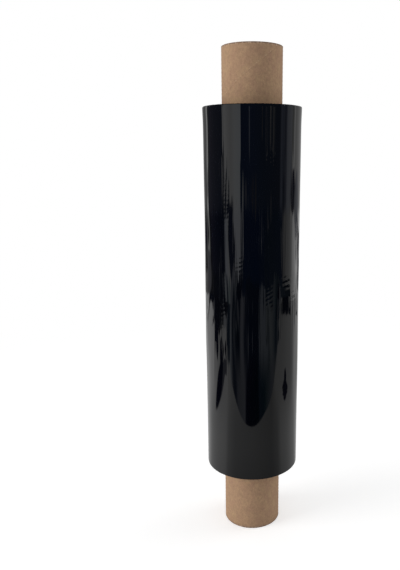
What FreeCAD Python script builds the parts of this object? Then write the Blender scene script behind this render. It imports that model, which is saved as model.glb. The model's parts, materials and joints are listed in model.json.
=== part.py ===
# Hand roll of stretch wrap: black film wound on a longer board tube, whose bare ends are the grips.
# Sizes are in millimetres. The origin is the middle of the tube's lower end, with +Z up along the tube.
# The front of the roll faces -Y, and angles are counted from +X towards +Y.
import FreeCAD, Part
import math
import os

# Board tube
tube_bore = 50.8
tube_wall = 5.0
lower_grip_length = 70.0
upper_grip_length = 57.0

# Wound film
film_width = 381.0
film_build = 19.1

# The roll is a little fuller at its top edge and a little thinner above the middle
top_flare = 0.45
top_flare_reach = 12.0
waist_depth = 0.35
waist_height = 240.0
waist_reach = 60.0

# Free end of the film: the last turn ends in one raised line along the back of the roll
tail_step = 0.25
tail_angle = 70.0

# Slack outer turns: long shallow pockets of trapped air that lie along the roll
pocket_count = 16
pocket_rise = 0.45
pocket_half_width = 5.5
pocket_half_length = 48.0
pocket_end_margin = 110.0

# End faces of the wound film: bands of turns that wandered in and out while the film was wound
band_count = 9
band_relief = 0.6
plain_rim = 1.5

# How finely the outer turn is drawn
outline_count = 28
points_per_turn = 80

# Steps of these sizes never line one copy up with another
GOLDEN_ANGLE = 137.508
GOLDEN_SHARE = 0.618034

tube_length = lower_grip_length + film_width + upper_grip_length
tube_inner_radius = tube_bore / 2
tube_outer_radius = tube_inner_radius + tube_wall
film_outer_radius = tube_outer_radius + film_build
film_bottom = lower_grip_length
film_top = film_bottom + film_width


def spread(index):
    """A share from 0 to 1 that jumps about evenly as the index counts up."""
    return (index * GOLDEN_SHARE) % 1.0


def bump(distance, reach):
    """A smooth hump: 1 in its middle, and nearly 0 from twice its reach."""
    return math.exp(-((distance / reach) ** 2))


def swell(height):
    """How much fuller the roll is at this height than its nominal radius."""
    flare = top_flare * bump(film_top - height, top_flare_reach)
    waist = waist_depth * bump(height - film_bottom - waist_height, waist_reach)
    return flare - waist


def pocket_lift(angle, height):
    """How far the slack outer turns stand off the tight roll at one place."""
    middle = film_bottom + film_width / 2
    spread_reach = film_width / 2 - pocket_end_margin
    lift = 0.0
    for index in range(pocket_count):
        pocket_height = middle + spread_reach * (2 * spread(index) - 1)
        turn = (angle - index * GOLDEN_ANGLE + 180.0) % 360.0 - 180.0
        around = math.radians(turn) * film_outer_radius
        side = 1.0 if index % 3 else -0.6
        shape = bump(around, pocket_half_width) * bump(height - pocket_height, pocket_half_length)
        lift += side * pocket_rise * shape
    return lift


def outer_turn(height):
    """One outline of the roll: a spiral of one turn, closed by the step at the free end of the film."""
    points = []
    shares = []
    for index in range(points_per_turn + 1):
        share = index / points_per_turn
        angle = tail_angle + 360.0 * share
        spiral_drop = tail_step * (1 - share)
        radius = film_outer_radius + swell(height) - spiral_drop + pocket_lift(angle, height)
        across = math.radians(angle)
        points.append(FreeCAD.Vector(radius * math.cos(across), radius * math.sin(across), height))
        shares.append(share)
    spiral = Part.BSplineCurve()
    spiral.interpolate(Points=points, Parameters=shares)
    step = Part.LineSegment(points[-1], points[0])
    return Part.Wire([spiral.toShape(), step.toShape()])


def outline_height(index):
    """Heights of the outlines: close together at both edges of the film and wider apart between them."""
    share = (1 - math.cos(math.pi * index / outline_count)) / 2
    return film_bottom + film_width * share


def end_bands(face_height, outward):
    """The space in front of one end face, down to the bands of turns that sit back from its rim."""
    inner = tube_outer_radius
    outer = film_outer_radius - plain_rim
    clear_height = face_height + outward * 2 * band_relief
    edge = [FreeCAD.Vector(inner, 0, clear_height)]
    for index in range(band_count):
        depth = band_relief * spread(2 * index + 1)
        for side in (0, 1):
            radius = inner + (outer - inner) * (index + side) / band_count
            edge.append(FreeCAD.Vector(radius, 0, face_height - outward * depth))
    edge.append(FreeCAD.Vector(outer, 0, clear_height))
    edge.append(edge[0])
    space = Part.Face(Part.makePolygon(edge))
    return space.revolve(FreeCAD.Vector(0, 0, 0), FreeCAD.Vector(0, 0, 1), 360)


def core_tube():
    """The spiral-wound board tube, cut square at both ends."""
    outside = Part.makeCylinder(tube_outer_radius, tube_length)
    bore = Part.makeCylinder(tube_inner_radius, tube_length)
    return outside.cut(bore)


def film_roll():
    """All the turns of film as one body, seated on the tube."""
    outlines = [outer_turn(outline_height(index)) for index in range(outline_count + 1)]
    body = Part.makeLoft(outlines, True, True)
    seat = Part.makeCylinder(tube_outer_radius, film_width, FreeCAD.Vector(0, 0, film_bottom))
    return body.cut([seat, end_bands(film_bottom, -1), end_bands(film_top, 1)])


def export(shape, node):
    for solid in shape.Solids:
        solid.exportStep("parts/" + node + ".step")
    print(node, "solids", len(shape.Solids), "valid", shape.isValid(), "volume", round(shape.Volume))


os.makedirs("parts", exist_ok=True)
export(core_tube(), "core_tube")
export(film_roll(), "film_roll")
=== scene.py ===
# A hand roll of black stretch wrap on a board core, standing on its end on a white floor. Its reflections show
# other surroundings, which were fitted to the photograph.
# Lengths are in metres. The roll stands along +Z, its front faces -Y, and angles run from +X towards +Y.
import bpy
import json
import math
import numpy as np
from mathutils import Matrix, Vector


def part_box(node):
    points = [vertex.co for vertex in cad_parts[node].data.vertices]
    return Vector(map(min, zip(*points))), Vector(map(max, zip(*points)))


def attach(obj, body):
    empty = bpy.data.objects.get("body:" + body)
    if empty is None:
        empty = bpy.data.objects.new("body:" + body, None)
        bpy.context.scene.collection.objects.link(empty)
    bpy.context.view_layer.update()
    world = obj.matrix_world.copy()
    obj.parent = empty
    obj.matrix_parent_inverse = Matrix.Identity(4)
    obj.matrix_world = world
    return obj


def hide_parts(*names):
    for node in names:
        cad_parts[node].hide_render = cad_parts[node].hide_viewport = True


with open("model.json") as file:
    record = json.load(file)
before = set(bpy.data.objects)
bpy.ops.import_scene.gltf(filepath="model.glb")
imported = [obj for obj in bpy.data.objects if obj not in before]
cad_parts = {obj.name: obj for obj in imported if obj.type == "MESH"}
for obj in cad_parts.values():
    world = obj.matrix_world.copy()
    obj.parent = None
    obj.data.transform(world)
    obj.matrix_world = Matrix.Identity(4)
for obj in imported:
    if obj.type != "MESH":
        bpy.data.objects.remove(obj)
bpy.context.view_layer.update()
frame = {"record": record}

MM = 0.001

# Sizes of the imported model
FILM_BUILD = 19.1 * MM
core_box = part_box("core_tube")
film_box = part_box("film_roll")
mounts = {mount["name"]: mount for mount in frame["record"]["mounts"]}
core_outer = mounts["lower_grip"]["dims"]["r_mm"] * MM
core_inner = mounts["core_bore"]["dims"]["r_mm"] * MM
core_top = core_box[1][2]
film_bottom = film_box[0][2]
film_top = film_box[1][2]
film_width = film_top - film_bottom
film_outer = core_outer + FILM_BUILD

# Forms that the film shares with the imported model
TAIL_STEP = 0.25 * MM
TAIL_ANGLE = 70.0
TOP_FLARE = 0.45 * MM
TOP_FLARE_REACH = 12 * MM
WAIST_DEPTH = 0.35 * MM
WAIST_HEIGHT = 240 * MM
WAIST_REACH = 60 * MM
POCKET_COUNT = 16
POCKET_RISE = 0.45 * MM
POCKET_HALF_WIDTH = 5.5 * MM
POCKET_HALF_LENGTH = 48 * MM
POCKET_END_MARGIN = 110 * MM
BAND_COUNT = 9
BAND_RELIEF = 0.6 * MM
PLAIN_RIM = 1.5 * MM
GOLDEN_ANGLE = 137.508
GOLDEN_SHARE = 0.618034

FRONT = -90.0


def spread(index):
    """A share from 0 to 1 that jumps about evenly as the index counts up."""
    return (index * GOLDEN_SHARE) % 1.0


def bump(distance, reach):
    """A smooth hump: 1 in its middle, and nearly 0 from twice its reach."""
    return np.exp(-((distance / reach) ** 2))


def turn_from(first, second):
    """The shorter way round from one angle to another, in degrees."""
    return (second - first + 180.0) % 360.0 - 180.0


# Film skin

LOWER_RIM_ROUND = 0.35 * MM
UPPER_RIM_ROUND = 0.8 * MM
RIM_UNEVEN = 0.10 * MM
RIM_UNEVEN_REACH = 1.2 * MM
RIM_STEPS = 4
ROW_SPACING = 3.0 * MM
FINE_COLUMN = 0.42
COARSE_COLUMN = 1.1
FINE_HALF_ZONE = 80.0
COLUMNS_PER_RING_STEP = 5
SUB_BANDS = 5
SUB_BAND_JITTER = 0.05 * MM

# Folds of the slack outer film that the photograph shows, each as stations from its lower end to its upper one:
# height in mm, degrees from the front (to the right is positive), reach to the left and to the right in mm,
# and rise in mm
FOLDS = [
    [(160, -30.0, 1.0, 1.0, 0.0), (185, -30.5, 1.6, 1.2, 0.10), (215, -31.0, 1.6, 1.2, 0.12),
     (250, -31.0, 1.0, 1.0, 0.0)],
    [(225, -17.0, 1.0, 1.0, 0.0), (250, -17.5, 1.5, 1.0, 0.12), (290, -18.5, 1.6, 1.0, 0.10),
     (330, -18.5, 1.0, 1.0, 0.0)],
    [(215, 16.2, 1.5, 1.0, 0.0), (235, 16.2, 2.0, 0.8, 0.10), (272, 16.0, 2.0, 0.8, 0.13),
     (292, 15.5, 1.5, 1.0, 0.0)],
    [(250, 20.0, 1.0, 1.0, 0.0), (265, 20.5, 1.2, 2.0, 0.16), (290, 21.0, 1.2, 2.0, 0.10),
     (310, 21.0, 1.0, 1.0, 0.0)],
    [(340, -31.0, 1.0, 1.0, 0.0), (360, -30.0, 1.2, 1.0, 0.20), (385, -29.0, 1.0, 0.8, 0.14),
     (405, -28.5, 0.8, 0.8, 0.0)],
    [(340, 50.0, 1.5, 1.5, 0.0), (365, 50.5, 1.5, 2.5, 0.25), (395, 51.0, 1.2, 2.0, 0.15),
     (420, 51.0, 1.0, 1.0, 0.0)],
    [(235, 43.0, 1.5, 1.5, 0.0), (262, 42.5, 1.5, 2.2, 0.06), (290, 42.0, 1.5, 2.0, 0.06),
     (310, 42.0, 1.0, 1.0, 0.0)],
    [(165, -54.0, 1.5, 1.5, 0.0), (190, -53.0, 1.8, 1.5, 0.12), (215, -52.0, 1.6, 1.2, 0.10),
     (240, -51.0, 1.0, 1.0, 0.0)],
    [(290, -68.0, 2.0, 2.0, 0.0), (325, -66.0, 2.2, 2.0, 0.30), (350, -65.0, 2.0, 1.6, 0.25),
     (380, -65.0, 1.0, 1.0, 0.0)],
    [(330, -60.0, 2.0, 2.0, 0.0), (350, -61.0, 2.2, 1.8, 0.25), (370, -62.0, 2.0, 1.5, 0.20),
     (395, -62.0, 1.0, 1.0, 0.0)],
    [(214, -77.0, 1.6, 1.2, 0.0), (224, -75.5, 1.6, 1.2, 0.3), (235, -71.7, 1.6, 1.2, 0.4),
     (245, -67.5, 1.6, 1.2, 0.4), (255, -64.5, 1.4, 1.2, 0.3), (268, -61.5, 1.0, 1.0, 0.0)],
    [(222, 54.0, 1.2, 1.0, 0.0), (238, 53.5, 1.0, 0.9, 0.12), (256, 53.0, 1.0, 0.9, 0.14),
     (274, 52.0, 1.0, 1.0, 0.0)],
    [(218, 58.5, 1.2, 1.0, 0.0), (236, 58.0, 1.0, 0.8, 0.16), (254, 57.5, 1.0, 0.8, 0.20),
     (270, 57.0, 1.0, 1.0, 0.0)],
    [(224, 64.5, 1.2, 1.0, 0.0), (240, 65.0, 1.1, 0.8, 0.18), (258, 65.0, 1.1, 0.8, 0.20),
     (282, 66.0, 1.0, 1.0, 0.0)],
]

# Straight creases that run down from the top edge: degrees from the front, lower end in mm, rise in mm
TOP_CREASES = [
    (16.3, 402, -0.06), (22.3, 405, 0.08), (26.5, 398, 0.07), (-12.5, 395, 0.05), (38.0, 380, 0.06),
    (-35.0, 400, 0.05), (-70.0, 395, 0.06),
]
CREASE_RUN_IN = 15.0
CREASE_REACH = 0.45

# Folds strewn over the rest of the roll: degrees from the front, heights, half lengths, reaches and rises in
# mm, and lean in degrees
LOOSE_FOLDS = 34
LOOSE_AWAY = (62.0, 296.0)
LOOSE_HEIGHTS = (190.0, 380.0)
LOOSE_HALF_LENGTHS = (25.0, 60.0)
LOOSE_REACHES = (1.2, 3.2)
LOOSE_RISES = (0.10, 0.32)
LOOSE_LEAN = 1.5


def film_swell(height):
    """How much fuller the roll is at this height than its nominal radius."""
    flare = TOP_FLARE * bump(film_top - height, TOP_FLARE_REACH)
    waist = WAIST_DEPTH * bump(height - film_bottom - WAIST_HEIGHT, WAIST_REACH)
    return flare - waist


def film_pockets(angle, height):
    """The slack outer turns' long pockets of air."""
    middle = film_bottom + film_width / 2
    reach = film_width / 2 - POCKET_END_MARGIN
    lift = 0.0
    for index in range(POCKET_COUNT):
        pocket_height = middle + reach * (2 * spread(index) - 1)
        around = np.radians(turn_from(index * GOLDEN_ANGLE, angle)) * film_outer
        side = 1.0 if index % 3 else -0.6
        shape = bump(around, POCKET_HALF_WIDTH) * bump(height - pocket_height, POCKET_HALF_LENGTH)
        lift = lift + side * POCKET_RISE * shape
    return lift


def loose_folds():
    """Folds like the photographed ones, strewn over the sides and the back of the roll."""
    random = np.random.default_rng(23)
    start, end = LOOSE_AWAY
    folds = []
    for index in range(LOOSE_FOLDS):
        away = start + (end - start) * (index + random.uniform(0.0, 1.0)) / LOOSE_FOLDS
        middle = random.uniform(*LOOSE_HEIGHTS)
        length = random.uniform(*LOOSE_HALF_LENGTHS)
        left, right = random.uniform(*LOOSE_REACHES, 2)
        rise = random.uniform(*LOOSE_RISES) * (1.0 if index % 4 else -1.0)
        lean = random.uniform(-LOOSE_LEAN, LOOSE_LEAN)
        folds.append([(middle - length, away - lean, left, right, 0.0),
                      (middle - length * random.uniform(0.1, 0.5), away - lean / 2, left, right, rise),
                      (middle + length * random.uniform(0.1, 0.5), away + lean / 2, left * 0.7, right * 0.7,
                       rise * 0.8),
                      (middle + length, away + lean, left * 0.5, right * 0.5, 0.0)])
    return folds


def fold_lift(folds, angle, height):
    """How far the folds lift the film at one height, for all angles."""
    lift = 0.0 * angle
    for away, lower_end, rise in TOP_CREASES:
        reach = np.clip((height / MM - lower_end) / CREASE_RUN_IN, 0.0, 1.0)
        aside = np.radians(turn_from(FRONT + away, angle)) * film_outer / MM
        lift = lift + MM * rise * reach * bump(aside, CREASE_REACH)
    for stations in folds:
        heights, angles, left, right, rise = np.array(stations).T
        if heights[0] * MM < height < heights[-1] * MM:
            at = height / MM
            aside = np.radians(turn_from(FRONT + np.interp(at, heights, angles), angle)) * film_outer / MM
            reach = np.where(aside < 0, np.interp(at, heights, left), np.interp(at, heights, right))
            lift = lift + MM * np.interp(at, heights, rise) * bump(aside, reach)
    return lift


def film_radius(angle, height):
    """The film's outer surface: a spiral of one turn with everything that stands on it."""
    share = (angle - TAIL_ANGLE) / 360.0
    return film_outer - TAIL_STEP * (1 - share) + film_swell(height) + film_pockets(angle, height)


def film_columns():
    """Angles of the film's columns, from its free end once round: close together at the front."""
    angles = [TAIL_ANGLE]
    while angles[-1] < TAIL_ANGLE + 360.0:
        away = abs(turn_from(FRONT, angles[-1]))
        angles.append(angles[-1] + (FINE_COLUMN if away < FINE_HALF_ZONE else COARSE_COLUMN))
    steps = (len(angles) - 1) // COLUMNS_PER_RING_STEP * COLUMNS_PER_RING_STEP
    shares = np.array(angles[:steps + 1]) - TAIL_ANGLE
    return TAIL_ANGLE + shares * 360.0 / shares[-1]


def film_rows():
    """Heights and inward offsets of the film's rows: both rims are rounded."""
    turns = [math.radians(90.0 * step / RIM_STEPS) for step in range(RIM_STEPS + 1)]
    lower = [(film_bottom + LOWER_RIM_ROUND * (1 - math.sin(turn)), LOWER_RIM_ROUND * (1 - math.cos(turn)))
             for turn in reversed(turns)]
    upper = [(film_top - UPPER_RIM_ROUND * (1 - math.sin(turn)), UPPER_RIM_ROUND * (1 - math.cos(turn)))
             for turn in turns]
    start = lower[-1][0]
    length = upper[0][0] - start
    count = round(length / ROW_SPACING)
    middle = [(start + length * index / count, 0.0) for index in range(1, count)]
    return lower + middle + upper


def end_profile(face_height, outward, random):
    """Radius and height of each ring of one end face, from the rim to the core."""
    inner = core_outer
    outer = film_outer - PLAIN_RIM
    rings = []
    for index in reversed(range(BAND_COUNT)):
        depth = BAND_RELIEF * spread(2 * index + 1)
        for part in reversed(range(SUB_BANDS + 1)):
            radius = inner + (outer - inner) * (index + part / SUB_BANDS) / BAND_COUNT
            jitter = 0.0 if part in (0, SUB_BANDS) else random.uniform(0, SUB_BAND_JITTER)
            rings.append((radius, face_height - outward * (depth + jitter)))
    return rings


# Patches where the film is finely crimped: height in mm, degrees from the front, half height and half width in
# mm, and strength
RIPPLES = [
    (268, 20.0, 8.0, 3.0, 1.7), (280, 45.0, 5.5, 6.0, 3.0), (262, 58.0, 12.0, 3.5, 1.6),
    (446, 49.0, 3.0, 3.5, 1.5), (398, 21.0, 5.0, 4.0, 1.0), (164, 43.0, 5.0, 3.0, 1.0),
    (360, -30.5, 22.0, 1.6, 1.0), (300, -14.0, 8.0, 3.0, 1.0), (262, -37.0, 18.0, 3.0, 1.0),
    (290, 120.0, 20.0, 6.0, 1.0), (250, 190.0, 16.0, 5.0, 1.0), (330, 235.0, 22.0, 5.0, 1.0),
    (300, 160.0, 12.0, 4.0, 1.0),
]


def ripple_strength(place):
    """How strongly the film is crimped at each point."""
    angle = np.degrees(np.arctan2(place[:, 1], place[:, 0]))
    total = np.zeros(len(place))
    for height, away, half_height, half_width, strength in RIPPLES:
        aside = np.radians(turn_from(FRONT + away, angle)) * film_outer / MM
        total += strength * bump(aside, half_width) * bump(place[:, 2] / MM - height, half_height)
    return total


def film_mesh():
    """The wound film as one closed mesh."""
    random = np.random.default_rng(7)
    columns = film_columns()
    count = len(columns) - 1
    ring_count = count // COLUMNS_PER_RING_STEP
    rows = film_rows()
    cos = np.cos(np.radians(columns))
    sin = np.sin(np.radians(columns))
    folds = FOLDS + loose_folds()
    uneven = random.uniform(-RIM_UNEVEN, RIM_UNEVEN, count + 1)
    uneven[-1] = uneven[0]
    vertices = []
    for height, inward in rows:
        radius = film_radius(columns, height) + fold_lift(folds, columns, height) - inward
        near_rim = bump(min(height - film_bottom, film_top - height), RIM_UNEVEN_REACH)
        vertices += list(zip(radius * cos, radius * sin, height + near_rim * uneven))
    faces = []
    for row in range(len(rows) - 1):
        low = row * (count + 1)
        high = low + count + 1
        for column in range(count):
            faces.append((low + column, low + column + 1, high + column + 1, high + column))
        faces.append((low + count, low, high, high + count))
    skin_faces = len(faces)

    def ring(radius, height):
        start = len(vertices)
        for step in range(ring_count):
            column = step * COLUMNS_PER_RING_STEP
            vertices.append((radius * cos[column], radius * sin[column], height))
        return start

    def join(outside, inside):
        for step in range(ring_count):
            following = (step + 1) % ring_count
            faces.append((outside + step, inside + step, inside + following, outside + following))

    def end_face(rim_start, face_height, outward):
        first = len(faces)
        rings = [ring(*item) for item in end_profile(face_height, outward, random)]
        for step in range(ring_count):
            following = (step + 1) % ring_count
            arc = [rim_start + step * COLUMNS_PER_RING_STEP + part for part in range(COLUMNS_PER_RING_STEP + 1)]
            faces.append(tuple([rings[0] + following, rings[0] + step] + arc))
        faces.append((rim_start + count, rim_start, rings[0]))
        for outside, inside in zip(rings, rings[1:]):
            join(outside, inside)
        if outward < 0:
            faces[first:] = [tuple(reversed(face)) for face in faces[first:]]
        return rings[-1]

    top_inner = end_face((len(rows) - 1) * (count + 1), film_top, 1)
    bottom_inner = end_face(0, film_bottom, -1)
    first = len(faces)
    join(top_inner, bottom_inner)
    mesh = bpy.data.meshes.new("film_skin")
    mesh.from_pydata(vertices, [], faces)
    slots = np.zeros(len(faces), dtype=np.int32)
    slots[skin_faces:first] = 1
    mesh.polygons.foreach_set("material_index", slots)
    mesh.validate()
    ripple = mesh.attributes.new("ripple", "FLOAT", "POINT")
    place = np.array([vertex.co for vertex in mesh.vertices])
    ripple.data.foreach_set("value", ripple_strength(place))
    return mesh


# Core

PLY_LEAD = 146 * MM
PLY_FRONT_HEIGHT = 484.5 * MM
SEAM_HALF_WIDTH = 0.45 * MM
SEAM_DEPTH = 0.05 * MM
CORE_COLUMNS = 120
CORE_ROW = 4.0 * MM
CORE_EDGE_ROUND = 0.35 * MM
CORE_EDGE_SHARES = np.array([0.0, 0.3, 1.0])
BOARD_PLIES = 11
END_PLY_DROP = 0.05 * MM
END_FUZZ = 0.06 * MM


def core_mesh():
    """The spiral-wound tube: its columns follow the outer ply's seam."""
    random = np.random.default_rng(11)
    seam_turn = math.degrees(SEAM_HALF_WIDTH / core_outer)
    even = np.linspace(0.0, 360.0, CORE_COLUMNS, endpoint=False)
    even = even[(even > 3 * seam_turn) & (even < 359.9 - seam_turn)]
    offsets = np.concatenate([[0.0, seam_turn, 2 * seam_turn], even, [360.0 - seam_turn]])
    away = np.abs(turn_from(0.0, offsets)) / seam_turn
    groove = SEAM_DEPTH * np.clip(1 - away, 0, 1)
    heights = np.linspace(0.0, core_top, round(core_top / CORE_ROW) + 1)
    rounded = CORE_EDGE_ROUND * CORE_EDGE_SHARES
    heights = np.concatenate([rounded, heights[1:-1], core_top - rounded[::-1]])
    edge = np.minimum(heights, core_top - heights)
    inward = CORE_EDGE_ROUND * np.clip(1 - edge / CORE_EDGE_ROUND, 0, 1) ** 2
    count = len(offsets)
    vertices = []
    faces = []

    def point(radius, offset, height):
        angle = math.radians(FRONT + offset + 360.0 * (height - PLY_FRONT_HEIGHT) / PLY_LEAD)
        return radius * math.cos(angle), radius * math.sin(angle), height

    def wall(base, side):
        start = len(vertices)
        for height, rounding in zip(heights, inward):
            for offset, depth in zip(offsets, groove):
                vertices.append(point(base - side * (depth + rounding), offset, height))
        for row in range(len(heights) - 1):
            for column in range(count):
                following = (column + 1) % count
                a = start + row * count + column
                b = start + row * count + following
                face = (a, b, b + count, a + count)
                faces.append(face if side > 0 else tuple(reversed(face)))
        return start

    outer = wall(core_outer, 1)
    inner = wall(core_inner, -1)
    wall_faces = len(faces)
    last = (len(heights) - 1) * count

    def end(height, outer_start, inner_start, up):
        loops = [outer_start]
        for ply in range(1, BOARD_PLIES):
            radius = core_outer + (core_inner - core_outer) * ply / BOARD_PLIES
            start = len(vertices)
            for offset in offsets:
                fuzz = abs(random.uniform(-END_FUZZ, END_FUZZ))
                x, y, z = point(radius, offset, height)
                vertices.append((x, y, z - up * (END_PLY_DROP + fuzz)))
            loops.append(start)
        loops.append(inner_start)
        for outside, inside in zip(loops, loops[1:]):
            for column in range(count):
                following = (column + 1) % count
                face = (outside + column, outside + following, inside + following, inside + column)
                faces.append(face if up > 0 else tuple(reversed(face)))

    end(core_top, outer + last, inner + last, 1)
    end(0.0, outer, inner, -1)
    mesh = bpy.data.meshes.new("core_board")
    mesh.from_pydata(vertices, [], faces)
    slots = np.zeros(len(faces), dtype=np.int32)
    slots[wall_faces:] = 1
    mesh.polygons.foreach_set("material_index", slots)
    mesh.validate()
    return mesh


# Node helpers

def add_node(tree, kind, inputs=None, **settings):
    """A node with its settings, and each named input linked to a socket or set to a value."""
    node = tree.nodes.new(kind)
    for name, value in settings.items():
        setattr(node, name, value)
    for name, value in (inputs or {}).items():
        if isinstance(value, bpy.types.NodeSocket):
            tree.links.new(value, node.inputs[name])
        else:
            node.inputs[name].default_value = value
    return node


def maths(tree, operation, first, second=0.0):
    """A Math node's result."""
    return add_node(tree, "ShaderNodeMath", {0: first, 1: second}, operation=operation).outputs[0]


def ramp(tree, factor, stops):
    """A colour ramp through (position, grey or colour) stops."""
    node = add_node(tree, "ShaderNodeValToRGB", {0: factor})
    elements = node.color_ramp.elements
    while len(elements) < len(stops):
        elements.new(0.5)
    for element, (position, colour) in zip(elements, stops):
        element.position = position
        element.color = (*colour, 1) if isinstance(colour, tuple) else (colour, colour, colour, 1)
    return node.outputs[0]


def noise(tree, place, scale, detail=2.0, roughness=0.5):
    """A Noise texture's factor, read at a place scaled by three numbers."""
    scaled = add_node(tree, "ShaderNodeVectorMath", {0: place, 1: scale}, operation="MULTIPLY").outputs[0]
    texture = add_node(tree, "ShaderNodeTexNoise", {"Vector": scaled, "Scale": 1.0, "Detail": detail,
                                                    "Roughness": roughness})
    return texture.outputs[0]


def line_noise(tree, along, detail=2.0):
    """A Noise texture's factor along a line."""
    return add_node(tree, "ShaderNodeTexNoise", {"W": along, "Scale": 1.0, "Detail": detail},
                    noise_dimensions="1D").outputs[0]


def mix_colour(tree, factor, first, second, blend_type="MIX"):
    """The first colour where the factor is 0, and the second one where it is 1."""
    node = add_node(tree, "ShaderNodeMix", {0: factor, 6: first, 7: second}, data_type="RGBA",
                    blend_type=blend_type)
    return node.outputs[2]


def blend_between(tree, value, limits, results=(0.0, 1.0)):
    """The first result below the first limit, the second one above the second, and a smooth change between."""
    return add_node(tree, "ShaderNodeMapRange", {0: value, 1: limits[0], 2: limits[1], 3: results[0],
                                                 4: results[1]}, interpolation_type="SMOOTHSTEP").outputs[0]


def fade_between(tree, value, limits):
    """1 below the first limit, 0 above the second."""
    return blend_between(tree, value, limits, (1.0, 0.0))


def new_material(name):
    material = bpy.data.materials.new(name)
    material.use_nodes = True
    tree = material.node_tree
    tree.nodes.clear()
    output = tree.nodes.new("ShaderNodeOutputMaterial")
    return material, tree, output


def object_place(tree):
    return add_node(tree, "ShaderNodeTexCoord").outputs["Object"]


def parts_of(tree, place):
    """The three coordinates of a place."""
    return add_node(tree, "ShaderNodeSeparateXYZ", {0: place}).outputs


def from_middle(tree, place):
    return add_node(tree, "ShaderNodeVectorMath", {0: place}, operation="LENGTH").outputs["Value"]


def from_axis(tree, place):
    """How far a place lies from the roll's axis."""
    x, y = parts_of(tree, place)[:2]
    return maths(tree, "SQRT", maths(tree, "ADD", maths(tree, "POWER", x, 2.0), maths(tree, "POWER", y, 2.0)))


def add_surface(tree, output, colour, roughness, ior, height, distance, strength):
    """Ends a material in a plain surface with this height as its bumps."""
    relief = add_node(tree, "ShaderNodeBump", {"Strength": strength, "Distance": distance, "Height": height})
    shader = add_node(tree, "ShaderNodeBsdfPrincipled", {"Base Color": colour, "Roughness": roughness,
                                                         "IOR": ior, "Normal": relief.outputs[0]})
    tree.links.new(shader.outputs[0], output.inputs[0])


# Materials

FILM_IOR = 1.52

# Heights over which the film's slack begins and ends, and the share of it that is gone above
SLACK_BEGINS = (0.165, 0.235)
SLACK_ENDS = (0.385, 0.415)
SLACK_LOST = 0.75

# How high the creases and the crimps stand, in mm
CREASE_HEIGHT = 0.06
CRIMP_HEIGHT = 0.02

# The crimps' spacing and slant on both sides of a band of angles right of the front
CRIMP_MIDDLE = 0.27
CRIMP_CHANGE = (math.radians(-62), math.radians(-52))
CRIMP_SPACING = (4.4 * MM, 6.5 * MM)
CRIMP_SLANT = (32.0, 7.0)
CRIMP_UNEVEN = 6.0

FILM_EDGE_PACE = 6000.0
FILM_EDGE_ROUGHNESS = 0.32

# Lines along the seam of the core's outer ply: the heights over which they come to show, how far they reach in
# mm, how far the pale one lies beside the seam in mm, and their strengths
SEAM_SHOWS = (0.3, 0.4)
DARK_LINE_REACH = (0.2, 0.8)
PALE_LINE_REACH = (0.2, 0.7)
PALE_LINE_OFFSET = 1.5
DARK_LINE_STRENGTH = 0.3
PALE_LINE_STRENGTH = 0.36

# How far from the core's ends the board carries a painted dark band of shade along its cut ends, and how far it
# is frayed
END_SHADE_REACH = (0.8 * MM, 1.8 * MM)
END_SHADE_STRENGTH = 0.75
FRAY_REACH = (1.0 * MM, 2.6 * MM)
FRAY_STRENGTH = 0.55

BOARD_IOR = 1.4
BOARD_ROUGHNESS = 0.88
BOARD_END_ROUGHNESS = 0.95
BOARD_END_FUZZ = 0.5
BOARD_BROWN = (0.379, 0.230, 0.146, 1)
BOARD_TAN = (0.431, 0.281, 0.164, 1)
BOARD_END_TAN = (0.43, 0.285, 0.185, 1)
DARK_LINE = (0.20, 0.115, 0.07, 1)
PALE_LINE = (0.66, 0.50, 0.36, 1)
# The colour of the painted shade along the core's cut ends
END_SHADE_COLOUR = (0.19, 0.115, 0.075, 1)
FRAYED = (0.62, 0.47, 0.35, 1)


def film_material():
    """Glossy black film: nearly a mirror, with fine creases along the roll and crimps in its slack folds."""
    material, tree, output = new_material("black_film")
    place = object_place(tree)
    x, y, height = parts_of(tree, place)
    lost = maths(tree, "MULTIPLY", SLACK_LOST, blend_between(tree, height, SLACK_ENDS))
    slack = maths(tree, "MULTIPLY", blend_between(tree, height, SLACK_BEGINS),
                  maths(tree, "SUBTRACT", 1.0, lost))
    patches = ramp(tree, noise(tree, place, (55, 55, 13), detail=1.0), [(0.42, 0.12), (0.62, 1.0)])
    lines = ramp(tree, noise(tree, place, (560, 560, 8), detail=1.0), [(0.57, 0.0), (0.68, 1.0)])
    creases = maths(tree, "MULTIPLY", maths(tree, "MULTIPLY", lines, patches),
                    maths(tree, "MULTIPLY", slack, CREASE_HEIGHT))
    angle = maths(tree, "ARCTAN2", y, x)
    uneven = maths(tree, "MULTIPLY", noise(tree, place, (120, 120, 70)), CRIMP_UNEVEN)
    pace = blend_between(tree, angle, CRIMP_CHANGE, [math.tau / spacing for spacing in CRIMP_SPACING])
    slant = blend_between(tree, angle, CRIMP_CHANGE, CRIMP_SLANT)
    waves = maths(tree, "MULTIPLY", maths(tree, "SUBTRACT", height, CRIMP_MIDDLE), pace)
    phase = maths(tree, "ADD", maths(tree, "SUBTRACT", waves, maths(tree, "MULTIPLY", angle, slant)), uneven)
    strength = add_node(tree, "ShaderNodeAttribute", attribute_name="ripple").outputs["Fac"]
    crimps = maths(tree, "MULTIPLY", maths(tree, "SINE", phase),
                   maths(tree, "MULTIPLY", strength, CRIMP_HEIGHT))
    colour = mix_colour(tree, patches, (0.0005, 0.0007, 0.0013, 1), (0.0010, 0.0011, 0.0015, 1))
    gloss = ramp(tree, noise(tree, place, (160, 160, 9)), [(0.3, 0.025), (0.75, 0.055)])
    add_surface(tree, output, colour, gloss, FILM_IOR, maths(tree, "ADD", creases, crimps), MM, 1.0)
    return material


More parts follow.
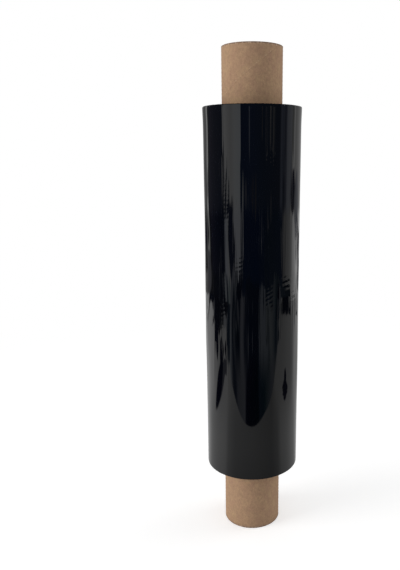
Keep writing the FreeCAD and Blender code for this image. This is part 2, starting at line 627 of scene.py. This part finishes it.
def film_edge_material():
    """The stacked edges of the turns on the roll's end faces."""
    material, tree, output = new_material("black_film_edges")
    place = object_place(tree)
    turns = line_noise(tree, maths(tree, "MULTIPLY", from_axis(tree, place), FILM_EDGE_PACE), detail=3.0)
    colour = mix_colour(tree, turns, (0.003, 0.0035, 0.005, 1), (0.016, 0.017, 0.020, 1))
    add_surface(tree, output, colour, FILM_EDGE_ROUGHNESS, FILM_IOR, turns, 0.05 * MM, 0.6)
    return material


def seam_distance(tree, place):
    """How far below or above the outer ply's seam a place lies, in mm."""
    x, y, height = parts_of(tree, place)
    angle = maths(tree, "DIVIDE", maths(tree, "ARCTAN2", y, x), math.tau)
    risen = maths(tree, "DIVIDE", maths(tree, "SUBTRACT", height, PLY_FRONT_HEIGHT), PLY_LEAD)
    along = maths(tree, "SUBTRACT", risen, maths(tree, "SUBTRACT", angle, FRONT / 360.0))
    share = maths(tree, "FRACT", maths(tree, "ADD", along, 0.5))
    return maths(tree, "MULTIPLY", maths(tree, "SUBTRACT", share, 0.5), PLY_LEAD / MM)


def board_material():
    """Kraft paper of the core's outer ply: mottled, with fibres, a faint helical seam, frayed ends and painted
    shade along its cut ends.
    """
    material, tree, output = new_material("kraft_board")
    place = object_place(tree)
    height = parts_of(tree, place)[2]
    seam = seam_distance(tree, place)
    clouds = noise(tree, place, (150, 150, 120), detail=3.0, roughness=0.6)
    mottle = noise(tree, place, (420, 420, 360), detail=3.0, roughness=0.6)
    fibres = noise(tree, place, (1500, 1500, 900), detail=3.0, roughness=0.65)
    worn = noise(tree, place, (700, 700, 500))
    colour = mix_colour(tree, ramp(tree, clouds, [(0.3, 0.0), (0.7, 1.0)]), BOARD_BROWN, BOARD_TAN)
    shade = ramp(tree, mottle, [(0.3, 0.87), (0.5, 1.0), (0.72, 1.10)])
    flecks = ramp(tree, fibres, [(0.3, 0.84), (0.5, 1.0), (0.72, 1.15)])
    for part in (shade, flecks):
        colour = mix_colour(tree, 1.0, colour, part, "MULTIPLY")

    shown = blend_between(tree, height, SEAM_SHOWS)
    dark_line = maths(tree, "MULTIPLY", fade_between(tree, maths(tree, "ABSOLUTE", seam), DARK_LINE_REACH),
                      blend_between(tree, worn, (0.42, 0.55)))
    beside = maths(tree, "ABSOLUTE", maths(tree, "SUBTRACT", seam, PALE_LINE_OFFSET))
    pale_line = maths(tree, "MULTIPLY", fade_between(tree, beside, PALE_LINE_REACH),
                      blend_between(tree, worn, (0.5, 0.6)))
    from_end = maths(tree, "MINIMUM", height, maths(tree, "SUBTRACT", core_top, height))
    # Painted shade: a dark band along both cut ends of the board
    end_shade = fade_between(tree, from_end, END_SHADE_REACH)
    frayed = maths(tree, "MULTIPLY", blend_between(tree, worn, (0.52, 0.60)),
                   fade_between(tree, from_end, FRAY_REACH))
    for where, strength, tint in ((dark_line, maths(tree, "MULTIPLY", shown, DARK_LINE_STRENGTH), DARK_LINE),
                                  (pale_line, maths(tree, "MULTIPLY", shown, PALE_LINE_STRENGTH), PALE_LINE),
                                  (end_shade, END_SHADE_STRENGTH, END_SHADE_COLOUR),
                                  (frayed, FRAY_STRENGTH, FRAYED)):
        colour = mix_colour(tree, maths(tree, "MULTIPLY", where, strength), colour, tint)
    add_surface(tree, output, colour, BOARD_ROUGHNESS, BOARD_IOR, maths(tree, "ADD", fibres, mottle),
                0.06 * MM, 0.6)
    return material


def board_end_material():
    """The cut ends of the board: fuzzy rings of plies."""
    material, tree, output = new_material("kraft_board_ends")
    place = object_place(tree)
    into_wall = maths(tree, "SUBTRACT", from_axis(tree, place), core_inner)
    ply = maths(tree, "FRACT", maths(tree, "DIVIDE", into_wall, (core_outer - core_inner) / BOARD_PLIES))
    fuzz = noise(tree, place, (1200, 1200, 1200), detail=4.0, roughness=0.7)
    uneven = maths(tree, "MULTIPLY", maths(tree, "SUBTRACT", fuzz, 0.5), BOARD_END_FUZZ)
    lines = ramp(tree, maths(tree, "ADD", ply, uneven), [(0.0, 0.62), (0.14, 1.0), (0.86, 1.0), (1.0, 0.62)])
    colour = mix_colour(tree, 1.0, BOARD_END_TAN, lines, "MULTIPLY")
    add_surface(tree, output, colour, BOARD_END_ROUGHNESS, BOARD_IOR, fuzz, 0.1 * MM, 0.7)
    return material


# The object's pieces

SHARP_ANGLE = math.radians(50)


def add_piece(name, mesh, materials):
    piece = bpy.data.objects.new(name, mesh)
    bpy.context.collection.objects.link(piece)
    for material in materials:
        mesh.materials.append(material)
    mesh.shade_smooth()
    mesh.set_sharp_from_angle(angle=SHARP_ANGLE)
    return piece


film = add_piece("film_skin", film_mesh(), [film_material(), film_edge_material()])
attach(film, "root")
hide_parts("film_roll")

core = add_piece("core_board", core_mesh(), [board_material(), board_end_material()])
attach(core, "root")
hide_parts("core_tube")


# Studio

# Painted reflections: the walls and the ceiling glow, and the floor glows to reflections, with painted light and
# shade that stand for a lit room and a table.
# The walls, the table and the room beyond it show in reflections only. Their places and brightnesses were worked
# out from what the film mirrors in the photograph, and then rounded and set one by one. They are lists of
# azimuths in degrees, each with a brightness or a colour: 0 is straight in front of the roll, and 90 is to its
# right.

FLOOR_SIZE = 14.0
ROOM_RADIUS = 1.2
ROOM_SIDES = 180
ROOM_LOW = -1.0
ROOM_HIGH = 1.15

# The height where the lower walls give way to the upper ones, with how uneven and how soft that line is
WALL_SPLIT = 0.24
WALL_SPLIT_UNEVEN = 0.10
WALL_SPLIT_SOFT = 0.02
UPPER_WALL = [
    (-180, 0.35), (-168, 0.15), (-156, 0.3), (-142, 0.16), (-135, 0.3), (-131, 0.5), (-129, 1.3),
    (-125.5, 1.3), (-123.5, 0.1), (-114, (0.08, 0.08, 0.11)), (-76, (0.06, 0.07, 0.11)),
    (-69.3, (0.03, 0.04, 0.07)), (-67.3, 1.1), (-50, 0.84), (-40, (0.95, 0.98, 1.0)),
    (-28.2, (0.9, 0.95, 1.0)), (-26.3, (0.03, 0.05, 0.11)), (0, (0.04, 0.06, 0.12)), (26, (0.04, 0.06, 0.1)),
    (66, (0.05, 0.06, 0.09)), (70, (0.2, 0.22, 0.29)), (73, (0.17, 0.19, 0.26)), (76, (0.06, 0.07, 0.1)),
    (84, (0.12, 0.13, 0.18)), (88, (0.38, 0.4, 0.46)), (103, (0.42, 0.43, 0.47)), (106, 0.27), (111, 0.36),
    (115, 0.85), (119, 0.45), (154, 0.42), (180, 0.35),
]
LOWER_WALL = [
    (-180, 0.35), (-168, 0.2), (-158, 0.25), (-154, 0.08), (-137, 0.03), (-133, 0.35), (-126, 0.75),
    (-122, 0.55), (-120.5, 0.03), (-110, (0.04, 0.04, 0.07)), (-69, (0.01, 0.02, 0.05)),
    (-66.5, (0.7, 0.75, 0.85)), (-50, 0.84), (-40, (0.85, 0.88, 0.95)), (-26, (0.85, 0.88, 0.95)),
    (-23.5, (0.02, 0.03, 0.07)), (-16, (0.01, 0.03, 0.09)), (16, (0.01, 0.03, 0.09)),
    (40, (0.03, 0.05, 0.08)), (70, (0.03, 0.05, 0.09)), (76, (0.04, 0.05, 0.09)), (79, 0.32), (100, 0.5),
    (108, 0.6), (112, 1.0), (131, 1.1), (154, 0.8), (168, 0.3), (180, 0.35),
]

# The walls' foot as (azimuth, height), below which the room beyond the table shows
WALL_FOOT_UNEVEN = 0.07
WALL_FOOT_SOFT = 0.004
WALL_FOOT = [
    (-180, 0.07), (-62, 0.07), (-59, 0.02), (-51, 0.015), (-48, 0.09), (-36, 0.095), (-34, 0.045),
    (-31, 0.045), (-29.5, 0.09), (-24, 0.1), (-22, 0.0), (-17, 0.0), (-15, 0.06), (16, 0.06), (30, 0.035),
    (33, 0.0), (50, 0.0), (53, 0.07), (64, 0.07), (75, 0.04), (105, 0.03), (109, 0.07), (180, 0.07),
]
WALL_UNEVEN_PACE = 110.0

# Things in front of the walls: azimuth and height of the middle, half width in degrees, half height, lean in
# degrees over the half height, and colour
STANDS = [
    (-50.0, 0.165, 8.5, 0.105, -2.0, (0.03, 0.04, 0.08)),
    (-56.0, 0.31, 2.4, 0.10, -1.0, (0.03, 0.04, 0.08)),
    (-47.0, 0.235, 2.2, 0.055, 0.0, (0.03, 0.04, 0.08)),
    (112.0, 0.30, 9.0, 0.075, 0.0, (0.04, 0.04, 0.06)),
    (129.0, 0.26, 12.0, 0.11, 0.0, (0.27, 0.28, 0.31)),
    (149.0, 0.11, 8.0, 0.13, -12.0, (0.02, 0.02, 0.03)),
    (-125.0, 0.06, 7.0, 0.07, 0.0, (0.2, 0.2, 0.22)),
    (-148.0, 0.17, 9.0, 0.05, 0.0, (0.02, 0.02, 0.03)),
    (-26.5, 0.035, 4.0, 0.06, 0.0, (0.01, 0.015, 0.04)),
    (-6.0, 0.50, 1.3, 0.12, 0.0, (0.28, 0.31, 0.40)),
    (32.5, 0.50, 1.2, 0.11, 0.0, (0.34, 0.33, 0.35)),
    (41.3, 0.52, 1.2, 0.11, 0.0, (0.33, 0.32, 0.32)),
    (49.0, 0.49, 1.5, 0.11, 0.0, (0.22, 0.22, 0.23)),
    (22.5, 0.52, 1.2, 0.08, 0.0, (0.16, 0.15, 0.16)),
    (-21.0, 0.29, 1.8, 0.07, 0.5, (0.26, 0.27, 0.29)),
    (-14.0, 0.29, 1.6, 0.05, 0.0, (0.18, 0.19, 0.23)),
    (2.0, 0.29, 1.6, 0.06, 0.5, (0.11, 0.10, 0.11)),
    (8.0, 0.28, 1.8, 0.08, 0.5, (0.10, 0.10, 0.12)),
    (22.0, 0.19, 1.2, 0.07, 0.0, (0.27, 0.28, 0.34)),
    (36.5, 0.21, 1.3, 0.06, 0.0, (0.18, 0.18, 0.21)),
    (44.0, 0.25, 1.2, 0.05, 0.0, (0.16, 0.16, 0.18)),
    (-55.0, 0.03, 5.0, 0.05, 0.0, (0.42, 0.50, 0.52)),
    (-51.0, 0.0, 1.5, 0.06, 0.0, (0.6, 0.65, 0.7)),
    (66.5, 0.0, 2.2, 0.055, 0.0, (0.01, 0.01, 0.03)),
    (70.3, 0.0, 1.2, 0.045, 0.0, (0.5, 0.5, 0.55)),
]

# The painted white table close to the roll and far from it, with painted shade in its brightnesses, the
# distances where one gives way to the other, and the painted shade round the roll's foot
TABLE_NEAR = [
    (-180, 0.4), (-158, 0.6), (-146, 0.78), (-112, 0.66), (-72, 0.88), (-64, 0.86), (-57, 0.62), (-40, 0.47),
    (0, 0.40), (30, 0.33), (46, 0.3), (62, 0.38), (72, 0.58), (110, 0.56), (123, 0.47), (136, 0.64),
    (156, 0.6), (180, 0.4),
]
TABLE_FAR = [
    (-180, 0.4), (-158, 0.5), (-140, 0.8), (-130, 0.9), (-108, 0.95), (-85, 0.7), (-64, 0.88), (-50, 0.62),
    (0, 0.42), (46, 0.27), (62, 0.45), (120, 0.46), (148, 0.6), (180, 0.4),
]
TABLE_BLEND = (0.28, 0.5)
TABLE_SHADE = 0.28
TABLE_SHADE_REACH = (0.08, 0.27)

# The y of the table's front edge, and how far it moves as x goes from the first place to the second one
TABLE_FRONT = -0.322
TABLE_FRONT_MOVES = [((-0.1, -0.3), -0.006), ((0.15, 0.55), 0.074), ((0.72, 0.9), -0.082)]

# Lines along the table's left end, as (slope, place): it lies where x + slope * y is over the place
TABLE_LEFT_BACK = (-0.46, -0.767)
TABLE_LEFT_FRONT = (0.9, -0.605)
TABLE_LEFT_CORNER = (0.11, -0.88)

# The x of the table's right end, which is uneven, and the y and half width of the stretch that ends there
TABLE_RIGHT = 0.975
TABLE_RIGHT_MIDDLE = -0.045
TABLE_RIGHT_HALF = 0.231
TABLE_RIGHT_UNEVEN = 0.16
TABLE_RIGHT_PACE = 40.0
BESIDE_TABLE = (0.012, 0.016, 0.03, 1)

# The dark room in front of the table close to its edge and far from it, and the distances where one gives way
# to the other
BEYOND_NEAR = [
    (-60, (0.12, 0.13, 0.16)), (-50.5, (0.34, 0.36, 0.4)), (-47.5, (0.34, 0.36, 0.4)),
    (-45, (0.12, 0.13, 0.16)), (-42.5, (0.04, 0.05, 0.08)), (-37, (0.04, 0.05, 0.08)),
    (-33, (0.18, 0.19, 0.23)), (-27, (0.21, 0.22, 0.25)), (-16.3, (0.24, 0.25, 0.29)),
    (-13.8, (0.01, 0.01, 0.03)), (16, (0.0, 0.01, 0.02)), (19, (0.03, 0.05, 0.08)), (29, (0.02, 0.05, 0.07)),
    (33, (0.08, 0.11, 0.13)), (45, (0.17, 0.18, 0.22)), (60, (0.2, 0.21, 0.22)),
]
BEYOND_FAR = [
    (-180, 0.35), (-129, 0.2), (-125, 0.03), (-72, (0.01, 0.02, 0.05)), (-70, (0.6, 0.65, 0.7)),
    (-67, (0.7, 0.75, 0.8)), (-65, (0.05, 0.07, 0.11)), (-54, (0.03, 0.05, 0.08)), (-48, (0.28, 0.3, 0.36)),
    (-43.5, (0.32, 0.34, 0.4)), (-41.5, (0.04, 0.06, 0.09)), (-39, (0.01, 0.02, 0.04)),
    (-37, (0.18, 0.2, 0.24)), (-34, (0.02, 0.03, 0.05)), (-27, (0.01, 0.02, 0.04)),
    (-22.5, (0.27, 0.28, 0.33)), (-18, (0.27, 0.28, 0.33)), (-15.5, (0.01, 0.02, 0.05)),
    (21.5, (0.01, 0.02, 0.05)), (23, (0.27, 0.3, 0.36)), (31.5, (0.26, 0.29, 0.33)),
    (32.8, (0.08, 0.1, 0.12)), (37.5, (0.27, 0.3, 0.32)), (48, (0.2, 0.22, 0.24)), (58, (0.12, 0.15, 0.18)),
    (62, (0.03, 0.05, 0.07)), (66, (0.07, 0.09, 0.12)), (102, (0.02, 0.03, 0.04)), (107, 0.8), (138, 1.1),
    (141, 0.06), (154, 0.6),
]
BEYOND_BLEND = (0.45, 0.75)

# Things on the table and on the floor beyond it: x and y of the middle, half length, half width, direction in
# degrees and colour
THINGS = [
    (-0.5, -0.125, 0.15, 0.045, 42.0, (0.17, 0.17, 0.2)),
    (-0.484, -0.046, 0.172, 0.066, 37.0, (0.01, 0.01, 0.03)),
    (-0.65, -0.115, 0.12, 0.06, 8.0, (0.01, 0.01, 0.03)),
    (0.51, -0.03, 0.05, 0.03, 0.0, (0.02, 0.02, 0.04)),
    (-0.72, 0.045, 0.13, 0.06, 175.0, (0.01, 0.01, 0.03)),
    (0.447, -0.035, 0.055, 0.065, 0.0, (0.02, 0.02, 0.04)),
    (0.58, 0.83, 0.17, 0.055, 112.0, (0.02, 0.02, 0.03)),
    (-0.63, 0.70, 0.16, 0.07, 140.0, (0.02, 0.02, 0.03)),
    (-1.01, 0.305, 0.12, 0.03, 166.0, (0.32, 0.33, 0.36)),
    (0.826, -0.87, 0.17, 0.09, 43.5, (0.03, 0.03, 0.05)),
    (-0.918, -0.246, 0.11, 0.03, 15.0, (0.5, 0.52, 0.56)),
    (-0.604, -0.525, 0.36, 0.03, 41.0, (0.5, 0.55, 0.6)),
    (1.02, -0.463, 0.17, 0.035, -24.0, (0.01, 0.01, 0.03)),
    (1.07, -0.39, 0.13, 0.025, -20.0, (0.5, 0.5, 0.55)),
    (1.0, 0.44, 0.12, 0.045, 23.0, (0.9, 0.92, 0.95)),
    (0.72, 0.48, 0.1, 0.03, 34.0, (0.25, 0.26, 0.3)),
    (-0.84, 0.36, 0.11, 0.03, 29.0, (0.03, 0.03, 0.05)),
]

# The floor: a pale grey that takes the shadow, a glow that lifts it, and the distances where it turns to white
WHITE = (1, 1, 1, 1)
FLOOR_GREY = (0.8, 0.8, 0.8, 1)
FLOOR_LIFT = 0.45
FLOOR_WHITE_FROM = (0.35, 0.9)
CEILING_COLOUR = (0.05, 0.06, 0.09, 1)
WORLD_LIGHT = 0.5


def azimuth_share(tree, place):
    """0 to 1 round the roll: 0.5 straight in front of it, growing towards +X."""
    x, y = parts_of(tree, place)[:2]
    angle = maths(tree, "ARCTAN2", x, maths(tree, "MULTIPLY", y, -1.0))
    return maths(tree, "ADD", maths(tree, "DIVIDE", angle, math.tau), 0.5)


def azimuth_ramp(tree, factor, stops):
    """A colour ramp whose stops are azimuths in degrees."""
    return ramp(tree, factor, [(azimuth / 360.0 + 0.5, colour) for azimuth, colour in stops])


def glossy_only(obj):
    """Lets an object show in reflections only."""
    obj.visible_camera = False
    obj.visible_diffuse = False
    obj.visible_shadow = False
    obj.visible_transmission = False
    obj.visible_volume_scatter = False


def uneven_line(tree, along, pace, amount, seed=0.0):
    """A small offset that jumps about along a line."""
    jumps = line_noise(tree, maths(tree, "ADD", maths(tree, "MULTIPLY", along, pace), seed))
    return maths(tree, "MULTIPLY", maths(tree, "SUBTRACT", jumps, 0.5), amount)


def oval(tree, first, second, x, y, half_x, half_y, direction, lean=0.0):
    """1 inside a pointed oval, 0 outside it."""
    turn = math.radians(direction)
    up = maths(tree, "SUBTRACT", second, y)
    across = maths(tree, "SUBTRACT", maths(tree, "SUBTRACT", first, x), maths(tree, "MULTIPLY", up, lean))
    along = maths(tree, "ADD", maths(tree, "MULTIPLY", across, math.cos(turn) / half_x),
                  maths(tree, "MULTIPLY", up, math.sin(turn) / half_x))
    aside = maths(tree, "ADD", maths(tree, "MULTIPLY", across, -math.sin(turn) / half_y),
                  maths(tree, "MULTIPLY", up, math.cos(turn) / half_y))
    distance = maths(tree, "ADD", maths(tree, "POWER", maths(tree, "ABSOLUTE", along), 1.5),
                     maths(tree, "POWER", maths(tree, "ABSOLUTE", aside), 1.5))
    return fade_between(tree, distance, (0.8, 1.1))


def add_glow(tree, colour, strength=1.0):
    return add_node(tree, "ShaderNodeEmission", {"Color": colour, "Strength": strength}).outputs[0]


def room_material():
    """The walls that the film mirrors, glowing with painted reflections: pale ones and a painted lit panel, with
    dark gaps between them.
    """
    material, tree, output = new_material("room_walls")
    place = object_place(tree)
    factor = azimuth_share(tree, place)
    height = parts_of(tree, place)[2]
    split = maths(tree, "ADD", height, uneven_line(tree, factor, WALL_UNEVEN_PACE, WALL_SPLIT_UNEVEN, 3.0))
    foot = maths(tree, "ADD", height, uneven_line(tree, factor, WALL_UNEVEN_PACE, WALL_FOOT_UNEVEN, 8.0))
    above_split = blend_between(tree, split, (WALL_SPLIT - WALL_SPLIT_SOFT, WALL_SPLIT + WALL_SPLIT_SOFT))
    seen = mix_colour(tree, above_split, azimuth_ramp(tree, factor, LOWER_WALL),
                      azimuth_ramp(tree, factor, UPPER_WALL))
    above_foot = blend_between(tree, maths(tree, "SUBTRACT", foot, azimuth_ramp(tree, factor, WALL_FOOT)),
                               (-WALL_FOOT_SOFT, WALL_FOOT_SOFT))
    seen = mix_colour(tree, above_foot, azimuth_ramp(tree, factor, BEYOND_FAR), seen)
    azimuth = maths(tree, "MULTIPLY", maths(tree, "SUBTRACT", factor, 0.5), 360.0)
    for turn, middle, half_width, half_height, lean, colour in STANDS:
        stand = oval(tree, azimuth, height, turn, middle, half_width, half_height, 0.0, lean / half_height)
        seen = mix_colour(tree, stand, seen, (*colour, 1))
    tree.links.new(add_glow(tree, seen), output.inputs[0])
    return material


# A dark glowing ceiling, seen only as a painted reflection
def ceiling_material():
    material, tree, output = new_material("room_ceiling")
    tree.links.new(add_glow(tree, CEILING_COLOUR), output.inputs[0])
    return material


def table_front(tree, across):
    """The y of the table's front edge at each x."""
    edge = TABLE_FRONT
    for limits, move in TABLE_FRONT_MOVES:
        edge = maths(tree, "ADD", edge, maths(tree, "MULTIPLY", blend_between(tree, across, limits), move))
    return edge


def right_of(tree, across, back, line):
    slope, place = line
    return maths(tree, "GREATER_THAN", maths(tree, "ADD", across, maths(tree, "MULTIPLY", back, slope)), place)


def between_ends(tree, across, back):
    """1 between the table's left end and its right one, 0 beside it."""
    left = maths(tree, "MAXIMUM", right_of(tree, across, back, TABLE_LEFT_BACK),
                 maths(tree, "MULTIPLY", right_of(tree, across, back, TABLE_LEFT_FRONT),
                       right_of(tree, across, back, TABLE_LEFT_CORNER)))
    ragged = maths(tree, "ADD", across, uneven_line(tree, back, TABLE_RIGHT_PACE, TABLE_RIGHT_UNEVEN))
    off_middle = maths(tree, "ABSOLUTE", maths(tree, "SUBTRACT", back, TABLE_RIGHT_MIDDLE))
    right = maths(tree, "MAXIMUM", maths(tree, "LESS_THAN", ragged, TABLE_RIGHT),
                  maths(tree, "GREATER_THAN", off_middle, TABLE_RIGHT_HALF))
    return maths(tree, "MULTIPLY", left, right)


def mirrored_floor(tree, place):
    """What the film mirrors below its horizon, as painted reflections: a white table with painted shade round
    the roll's foot and things on it, and the dark room beyond.
    """
    across, back = parts_of(tree, place)[:2]
    factor = azimuth_share(tree, place)
    away = from_middle(tree, place)
    table = mix_colour(tree, blend_between(tree, away, TABLE_BLEND), azimuth_ramp(tree, factor, TABLE_NEAR),
                       azimuth_ramp(tree, factor, TABLE_FAR))
    # Painted shade round the roll's foot on the mirrored table
    shade = maths(tree, "MULTIPLY", TABLE_SHADE, fade_between(tree, away, TABLE_SHADE_REACH))
    table = add_node(tree, "ShaderNodeVectorMath", {0: table, 1: maths(tree, "SUBTRACT", 1.0, shade)},
                     operation="MULTIPLY").outputs[0]
    beyond = mix_colour(tree, blend_between(tree, away, BEYOND_BLEND), azimuth_ramp(tree, factor, BEYOND_NEAR),
                        azimuth_ramp(tree, factor, BEYOND_FAR))
    seen = mix_colour(tree, maths(tree, "GREATER_THAN", back, table_front(tree, across)), beyond, table)
    seen = mix_colour(tree, between_ends(tree, across, back), BESIDE_TABLE, seen)
    for *form, colour in THINGS:
        seen = mix_colour(tree, oval(tree, across, back, *form), seen, (*colour, 1))
    return seen


def floor_material():
    """White to the camera with the roll's soft shadow, and glowing to reflections with the painted table and
    room.
    """
    material, tree, output = new_material("studio_floor")
    place = object_place(tree)
    rays = add_node(tree, "ShaderNodeLightPath")
    seen = rays.outputs["Is Camera Ray"]
    grey = add_node(tree, "ShaderNodeBsdfDiffuse", {"Color": FLOOR_GREY})
    lift = add_glow(tree, WHITE, maths(tree, "MULTIPLY", seen, FLOOR_LIFT))
    plain = add_node(tree, "ShaderNodeAddShader", {0: grey.outputs[0], 1: lift})
    far = maths(tree, "MULTIPLY", blend_between(tree, from_middle(tree, place), FLOOR_WHITE_FROM), seen)
    ground = add_node(tree, "ShaderNodeMixShader", {0: far, 1: plain.outputs[0], 2: add_glow(tree, WHITE)})
    both = add_node(tree, "ShaderNodeMixShader", {0: rays.outputs["Is Glossy Ray"], 1: ground.outputs[0],
                                                  2: add_glow(tree, mirrored_floor(tree, place))})
    tree.links.new(both.outputs[0], output.inputs[0])
    return material


def add_stage(name, vertices, faces, material):
    mesh = bpy.data.meshes.new(name)
    mesh.from_pydata(vertices, [], faces)
    obj = bpy.data.objects.new(name, mesh)
    bpy.context.collection.objects.link(obj)
    mesh.materials.append(material)
    return obj


half = FLOOR_SIZE / 2
add_stage("floor", [(-half, -half, 0), (half, -half, 0), (half, half, 0), (-half, half, 0)], [(0, 1, 2, 3)],
          floor_material())

turns = [math.tau * side / ROOM_SIDES for side in range(ROOM_SIDES)]
ring = [(ROOM_RADIUS * math.sin(turn), -ROOM_RADIUS * math.cos(turn)) for turn in turns]
following = [(side + 1) % ROOM_SIDES for side in range(ROOM_SIDES)]
walls = [(side, after, after + ROOM_SIDES, side + ROOM_SIDES) for side, after in enumerate(following)]
room = add_stage("room", [(x, y, z) for z in (ROOM_LOW, ROOM_HIGH) for x, y in ring], walls, room_material())
ceiling = add_stage("ceiling", [(x, y, ROOM_HIGH) for x, y in ring], [tuple(range(ROOM_SIDES))],
                    ceiling_material())
glossy_only(room)
glossy_only(ceiling)

# Lights: name, place, what they face, size and power
LIGHTS = [
    ("key_light", (-1.92, -0.65, 0.8), (0, 0, core_top / 2), 1.1, 19.2),
    ("fill_light", (1.5, 0.5, 0.9), (0, 0, core_top / 2), 1.1, 8.5),
    ("bounce_light", (-0.55, -0.12, 0.17), (0, 0, 0.05), 0.3, 0.5),
]

for name, place, aim, size, power in LIGHTS:
    light = bpy.data.lights.new(name, "AREA")
    light.size = size
    light.energy = power
    lamp = bpy.data.objects.new(name, light)
    bpy.context.collection.objects.link(lamp)
    lamp.location = place
    lamp.rotation_euler = (Vector(aim) - lamp.location).to_track_quat("-Z", "Y").to_euler()
    lamp.visible_glossy = False

# The world: white where it is seen, and dimmer as a light
world = bpy.data.worlds.new("studio")
bpy.context.scene.world = world
world.use_nodes = True
tree = world.node_tree
tree.nodes.clear()
rays = add_node(tree, "ShaderNodeLightPath").outputs
seen_white = maths(tree, "MAXIMUM", rays["Is Camera Ray"],
                   maths(tree, "MAXIMUM", rays["Is Glossy Ray"], rays["Is Transmission Ray"]))
strength = maths(tree, "ADD", WORLD_LIGHT, maths(tree, "MULTIPLY", seen_white, 1.0 - WORLD_LIGHT))
background = add_node(tree, "ShaderNodeBackground", {"Color": WHITE, "Strength": strength})
tree.links.new(background.outputs[0], tree.nodes.new("ShaderNodeOutputWorld").inputs[0])

# Camera: where the photograph was taken from
CAMERA_DISTANCE = 0.6191
CAMERA_HEIGHT = 0.40185
CAMERA_TILT = 12.08
FOCAL_PIXELS = 594.73
ROLL_MIDDLE_PIXEL = 252.06
IMAGE_WIDTH = 400
IMAGE_HEIGHT = 570
SENSOR = 36

camera_data = bpy.data.cameras.new("camera")
camera = bpy.data.objects.new("camera", camera_data)
bpy.context.collection.objects.link(camera)
camera.location = (0, -CAMERA_DISTANCE, CAMERA_HEIGHT)
camera.rotation_euler = (math.radians(90 - CAMERA_TILT), 0, 0)
camera_data.sensor_width = SENSOR
camera_data.lens = FOCAL_PIXELS / IMAGE_HEIGHT * SENSOR
camera_data.shift_x = -(ROLL_MIDDLE_PIXEL - IMAGE_WIDTH / 2) / IMAGE_HEIGHT
bpy.context.scene.camera = camera
bpy.context.scene.view_settings.view_transform = "Standard"
